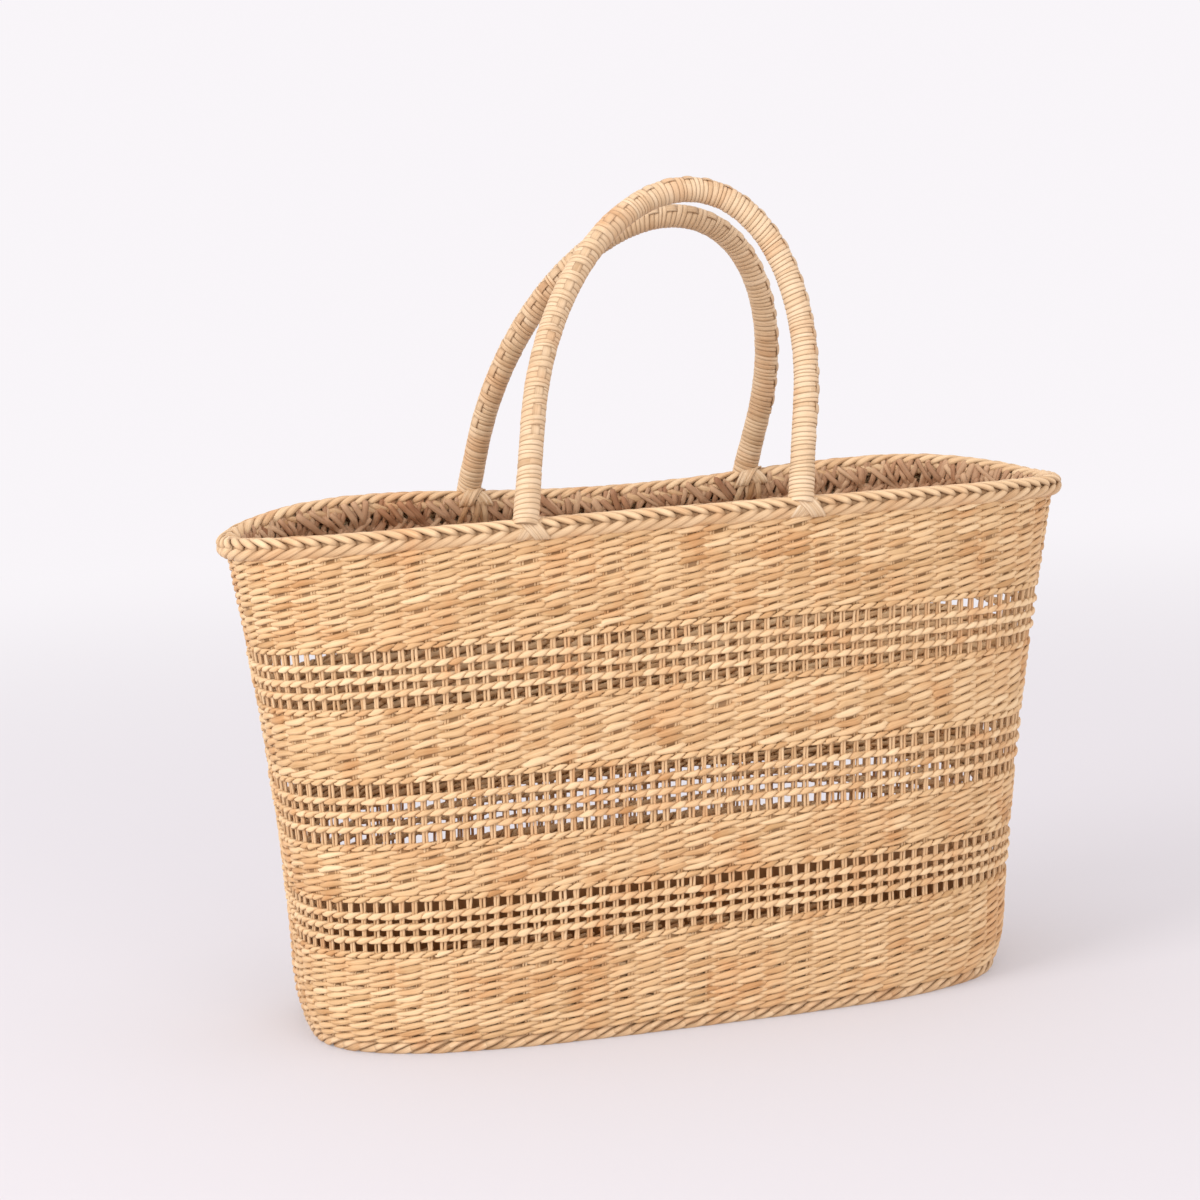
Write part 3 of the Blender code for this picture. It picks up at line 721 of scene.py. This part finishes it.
def handle_path(shape):
    """Fine middle line of a handle in the world, its length so far, and its outer direction."""
    extra = LEG_SHARE * ROOT_DEPTH / shape["leg"]
    turn = np.linspace(-1 - extra, 1 + extra, 3001)
    leg = np.abs(turn) > 1 - LEG_SHARE
    angle = np.pi / 2 * turn / (1 - LEG_SHARE)
    rise = np.where(leg, shape["leg"] * (1 - np.abs(turn)) / LEG_SHARE,
                    shape["leg"] + shape["arch"] * np.cos(angle))
    across = shape["half_span"] * np.where(leg, np.sign(turn), np.sin(angle))
    side = shape["side"]
    hinge = shape["hinge"]
    path = np.stack([shape["middle"] + across + shape["sway"] * rise,
                     hinge[1] - side * math.sin(HANDLE_LEAN) * rise,
                     hinge[2] + math.cos(HANDLE_LEAN) * rise], -1)
    outer = np.array([0.0, side * math.cos(HANDLE_LEAN), math.sin(HANDLE_LEAN)])
    reached = np.concatenate([[0], np.cumsum(np.linalg.norm(np.diff(path, axis=0), axis=1))])
    return path, reached, outer


def along_path(path, reached, where):
    """Point and direction of the path at these lengths."""
    point = np.stack([np.interp(where, reached, path[:, k]) for k in range(3)], -1)
    ahead = np.stack([np.interp(where + 0.5 * MM, reached, path[:, k]) for k in range(3)], -1)
    behind = np.stack([np.interp(where - 0.5 * MM, reached, path[:, k]) for k in range(3)], -1)
    return point, unit(ahead - behind)


WRAP_STEPS = (0.0, 0.04, 0.16, 0.38, 0.62, 0.84, 0.96)
WRAP_SIDES = 32
WRAP_WIDTH = 2.55 * MM
WRAP_HEIGHT = 0.42 * MM


def strand_angle(shape, share):
    """Where the woven strand lies round the handle: 0 is its outer face, a quarter turn its outer curve."""
    turned = 122 if shape["side"] > 0 else 62 * smoothstep(0.25, 0.58, share) - 6
    return shape["side"] * np.radians(turned) * np.ones_like(share)


def wrap_edges(total):
    """Where the turns of the wrapping start along the handle, and where the last one ends."""
    wraps = 4 * round(total / WRAP_WIDTH / 4)
    widths = 1 + 0.20 * rng.normal(size=wraps).clip(-1.8, 1.8)
    return np.concatenate([[0], np.cumsum(widths)]) / widths.sum() * total


def wrapping(place, shape, path, reached, outer, edges):
    """Overlapping turns of split rush: one piece for the arch and one for each leg."""
    total = reached[-1]
    wraps = len(edges) - 1
    number = np.repeat(np.arange(wraps), len(WRAP_STEPS))
    step = np.tile(WRAP_STEPS, wraps)
    where = edges[number] + step * np.diff(edges)[number]
    theta = 2 * np.pi * np.arange(WRAP_SIDES) / WRAP_SIDES
    tilt = 0.16 + 0.06 * np.interp(where, np.linspace(0, total, 200), waves(200, 24))
    lift = rng.normal(size=wraps)[number] * 0.07 * MM
    ridge = WRAP_HEIGHT * (1 - np.abs(2 * step - 1) ** 5) + 0.12 * MM * (step - 0.5)

    # Two turns in four are raised where they pass over the woven strand.
    apart = (theta[None] - strand_angle(shape, where / total)[:, None] + np.pi) % (2 * np.pi) - np.pi
    window = smoothstep(math.radians(42), math.radians(22), np.abs(apart))
    from_end = np.minimum(where, total - where)
    patterned = smoothstep(ROOT_DEPTH + 20 * MM, ROOT_DEPTH + 24 * MM, from_end)
    over = ((number // 2) % 2 == 0) * patterned
    base = WRAP_RADIUS - WRAP_HEIGHT + 0.35 * MM * smoothstep(ROOT_DEPTH + 12 * MM, ROOT_DEPTH, from_end)
    radius = (base + ridge + lift)[:, None] + 0.38 * MM * over[:, None] * window
    radius = radius * (1 + 0.02 * np.cos(2 * theta + 0.6))[None]

    place_along = where[:, None] + WRAP_RADIUS * tilt[:, None] * np.sin(theta + 0.5)[None]
    centre, along = along_path(path, reached, np.clip(place_along, 0, total))
    points = centre + radius[..., None] * (np.cos(theta)[None, :, None] * outer
                                           + np.sin(theta)[None, :, None] * np.cross(along, outer))
    tone = (0.5 + rng.normal(size=wraps) * 0.085)[number][:, None] + 0.06 * np.sin(theta + 1)[None]
    # Painted shade: each turn darkens towards its edges, in the grooves between turns.
    shade = (0.40 + 0.60 * (1 - np.abs(2 * step - 1) ** 6))[:, None] * np.ones(WRAP_SIDES)
    # The fibres of a turn run round the handle, so the grain's length is measured round it.
    grain = np.stack([np.broadcast_to(theta * WRAP_RADIUS + number[:, None] * 0.37, radius.shape),
                      np.broadcast_to(where[:, None], radius.shape), radius], -1)

    limit = ROOT_DEPTH + BLENDED_LEG
    first, last = (int(np.argmax(where >= end)) // len(WRAP_STEPS) * len(WRAP_STEPS)
                   for end in (limit, total - limit))
    spans = {"left_handle_leg": (0, first + 1), "handle_wrapping": (first, last + 1),
             "right_handle_leg": (last, len(where))}
    for label, (low, high) in spans.items():
        leg = label.endswith("leg")
        root = f"{place}_{label.split('_')[0]}_handle_root"
        piece = Piece(f"{place}_{label}", BINDING, "handle_wrap", body=None if leg else f"{place}_handle",
                      replaces=(root,) if leg else (f"{place}_handle_wrap", f"{place}_handle_core"))
        piece.add_rings(points[None, low:high], grain[None, low:high], tone[None, low:high],
                        shade[None, low:high])
        obj = piece.build()
        if leg:
            hinge = Vector(shape["hinge"])
            hinge.x = sum(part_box(root), Vector()).x / 2
            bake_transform(obj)


def woven_strand(place, shape, path, reached, outer, edges):
    """The strand woven into the arch's wrapping. It shows for two turns and goes under the next two."""
    total = reached[-1]
    limit = ROOT_DEPTH + BLENDED_LEG
    blocks = edges[::2]
    block_numbers = np.arange(len(blocks))[(blocks > limit) & (blocks < total - limit)]
    fine = np.linspace(block_numbers[0], block_numbers[-1], (len(block_numbers) - 1) * 8 + 1)
    where = np.interp(fine, np.arange(len(blocks)), blocks)
    centre, along = along_path(path, reached, where)
    shown = -np.sin(np.pi * fine)
    height = WRAP_RADIUS - 0.25 * MM + 0.60 * MM * np.sign(shown) * np.abs(shown) ** 0.5
    angle = strand_angle(shape, where / total)[:, None]
    away = np.cos(angle) * outer + np.sin(angle) * np.cross(along, outer)
    strand = centre + away * height[:, None]
    piece = Piece(f"{place}_handle_woven_strand", BINDING, "lashing", body=f"{place}_handle",
                  replaces=(f"{place}_handle_pattern_strand",))
    block_tone = (0.46 + rng.normal(size=len(blocks) + 1) * 0.08)[np.floor(fine).astype(int)]
    # Painted shade: the strand darkens where it goes under the wrapping, and along its sides through
    # edge_shade.
    piece.add(strand[None], away[None], 2.3 * MM, 0.42 * MM, tone=block_tone[None], edge_shade=0.4,
              shade=(0.50 + 0.50 * np.clip(shown, 0, 1) ** 0.35)[None], sides=10)
    piece.build()


def handle(place, shape):
    """One handle: its wrapping and the strand woven into it."""
    path, reached, outer = handle_path(shape)
    edges = wrap_edges(reached[-1])
    wrapping(place, shape, path, reached, outer, edges)
    woven_strand(place, shape, path, reached, outer, edges)


LASHING_STRIPS = 6
# Where the fan's strands start together over the rim and where they end, along the rim, in millimetres.
FAN_GATHERED = (1.5, -3.5, 3.0, -1.5, -4.0, 3.5)
FAN_SPREAD = (-13.5, -8.0, -3.2, 2.0, 7.4, 12.6)


def crossed_lashing(name, node, centre):
    """Two layers of strips that cross over the rim, from inside the wall to below the plait."""
    piece = Piece(name, BINDING, "lashing", replaces=(node,))
    t = np.linspace(0, 1, 26)[None]
    strips = np.arange(LASHING_STRIPS)[:, None] - (LASHING_STRIPS - 1) / 2
    for layer, lean in ((0, -1), (1, 1)):
        top = strips * 1.5 * MM - lean * 4.2 * MM
        bottom = strips * 1.25 * MM + lean * 6.8 * MM
        section = np.radians(212 - 290 * t)
        share = np.where(t > 0.42, smoothstep(0.36, 1.0, t), smoothstep(0.48, 0.0, t))
        around = centre + (top * (1 - share) + bottom * share) / RIM_LENGTH
        tuck = smoothstep(0.87, 1.0, t) + smoothstep(0.10, 0.0, t)
        inner = smoothstep(0.40, 0.24, t)
        loose = rng.normal(size=(LASHING_STRIPS, 1)) * 0.12
        lift = (0.15 + 0.80 * layer + 2.6 * inner - 2.6 * tuck + loose) * MM
        path, facing = on_braid(around, np.broadcast_to(section, around.shape), lift)
        # Painted shade: the strips darken where they tuck in at both ends, and along their sides through
        # edge_shade.
        piece.add(path, facing, (1.0 - 0.6 * tuck) * MM, 0.55 * MM, edge_shade=0.5,
                  tone=0.50 + rng.normal(size=(LASHING_STRIPS, 1)) * 0.14,
                  shade=np.broadcast_to(1 - 0.3 * tuck, around.shape))
    piece.build()


def tail_fan(name, node, centre):
    """The strands that anchor a handle's end inside the wall, spreading downwards."""
    piece = Piece(name, BINDING, "lashing", replaces=(node,))
    t = np.linspace(0, 1, 14)[None]
    gathered, spread = (np.array(row)[:, None] * MM for row in (FAN_GATHERED, FAN_SPREAD))
    count = len(FAN_SPREAD)
    across = gathered * (1 - t) + spread * t ** 0.8
    drop = (25 + rng.normal(size=(count, 1)) * 2.5) * MM
    height = WALL_TOP + 9 * MM - (drop + 3 * MM) * t
    over_braid = smoothstep(WALL_TOP - 3 * MM, WALL_TOP + 2 * MM, height)
    inset = -(6.6 + 2.8 * over_braid + 0.6 * (np.arange(count)[:, None] % 2) - 0.8 * t) * MM
    path, normal, _ = on_wall(centre + across / RIM_LENGTH, height, inset)
    # Painted shade: the strands darken towards their lower ends, and along their sides through edge_shade.
    piece.add(path, -normal, (1.8 - 0.6 * t) * MM, 0.55 * MM, edge_shade=0.5,
              tone=0.15 + rng.normal(size=(count, 1)) * 0.12,
              shade=np.broadcast_to(1 - 0.2 * t, across.shape))
    piece.build()


def lashings(place, shape):
    """What ties both ends of a handle to the rim."""
    for end, way in (("left", -1), ("right", 1)):
        centre = around_at(shape["middle"] + way * shape["half_span"], shape["side"])
        crossed_lashing(f"{place}_{end}_crossed_lashing", f"{place}_{end}_lashing", centre)
        tail_fan(f"{place}_{end}_tail_fan", f"{place}_{end}_handle_tail", centre)


# Build ------------------------------------------------------------------------------------------------------

# Each dense band: its lower and upper edge, its rows, its edge rows below and above, and its parts.
BANDS = (
    ("bottom", 2 * FOOT_RADIUS, OPENWORK["lower"][0], 12, 0, 1, 2),
    ("lower", OPENWORK["lower"][1], OPENWORK["middle"][0], 6, 1, 1, 1),
    ("upper", OPENWORK["middle"][1], OPENWORK["upper"][0], 7, 1, 1, 1),
    ("top", OPENWORK["upper"][1], HEIGHT - 2 * PLAIT_HALF_HEIGHT + 1.6 * MM, 12, 1, 0, 2),
)
for place, low, high, rows, below, above, parts in BANDS:
    dense_band(place, low, high, rows, below, above, parts)
for place, (low, high) in OPENWORK.items():
    openwork_band(place, low, high)
base_panel()
rim()
foot()
inner_border()
border_cord()
for place, shape in HANDLES.items():
    handle(place, shape)
    lashings(place, shape)

# Setting ----------------------------------------------------------------------------------------------------

scene = bpy.context.scene
scene.view_settings.view_transform = "Standard"
scene.view_settings.look = "None"

BACKGROUND = (0.945, 0.915, 0.945)
world = bpy.data.worlds.new("studio")
scene.world = world
world.use_nodes = True
world.node_tree.nodes["Background"].inputs["Color"].default_value = (*BACKGROUND, 1)
world.node_tree.nodes["Background"].inputs["Strength"].default_value = 1.0

FLOOR_RADIUS = 12
bpy.ops.mesh.primitive_circle_add(vertices=96, radius=FLOOR_RADIUS, fill_type="NGON")
floor = bpy.context.active_object
floor.name = "floor"
paper = bpy.data.materials.new("floor_paper")
paper.use_nodes = True
nodes, links = paper.node_tree.nodes, paper.node_tree.links
matt = nodes["Principled BSDF"]
matt.inputs["Base Color"].default_value = (0.630, 0.600, 0.620, 1)
matt.inputs["Roughness"].default_value = 0.9
# Away from the basket the floor fades into the background.
glow = nodes.new("ShaderNodeEmission")
glow.inputs["Color"].default_value = (*BACKGROUND, 1)
place_node = nodes.new("ShaderNodeTexCoord")
distance = nodes.new("ShaderNodeVectorMath")
distance.operation = "LENGTH"
links.new(place_node.outputs["Object"], distance.inputs[0])
fade = nodes.new("ShaderNodeMapRange")
fade.interpolation_type = "SMOOTHSTEP"
fade.inputs["From Min"].default_value = 0.30
fade.inputs["From Max"].default_value = 2.4
fade.inputs["To Min"].default_value = 0.22
links.new(distance.outputs["Value"], fade.inputs["Value"])
mix = nodes.new("ShaderNodeMixShader")
links.new(fade.outputs["Result"], mix.inputs["Fac"])
links.new(matt.outputs["BSDF"], mix.inputs[1])
links.new(glow.outputs["Emission"], mix.inputs[2])
links.new(mix.outputs["Shader"], nodes["Material Output"].inputs["Surface"])
floor.data.materials.append(paper)


def soft_light(name, location, size, power, target=(0, 0, 0.15)):
    """A square area light that faces the basket."""
    data = bpy.data.lights.new(name, "AREA")
    data.size = size
    data.energy = power
    light = bpy.data.objects.new(name, data)
    scene.collection.objects.link(light)
    light.location = location
    light.rotation_euler = (Vector(target) - Vector(location)).to_track_quat("-Z", "Y").to_euler()


soft_light("key_light", (-2.7, -1.1, 1.5), 1.5, 56)
soft_light("front_light", (0.5, -2.8, 1.1), 1.5, 21)
soft_light("top_light", (0.2, -0.3, 2.6), 1.8, 9)

CAMERA_PLACE = (-0.3632, -1.4524, 0.4132)
CAMERA_FORWARD = (0.2214, 0.9666, -0.1294)
CAMERA_ROLL = math.radians(-3.33)
CAMERA_LENS = 82.455

camera = bpy.data.objects.new("camera", bpy.data.cameras.new("camera"))
scene.collection.objects.link(camera)
scene.camera = camera
camera.data.sensor_width = 36
camera.data.lens = CAMERA_LENS
camera.data.clip_end = 60
forward = Vector(CAMERA_FORWARD).normalized()
level = forward.cross(Vector((0, 0, 1))).normalized()
right = level * math.cos(CAMERA_ROLL) + level.cross(forward) * math.sin(CAMERA_ROLL)
axes = Matrix((right, right.cross(forward), -forward)).transposed()
camera.matrix_world = Matrix.Translation(CAMERA_PLACE) @ axes.to_4x4()
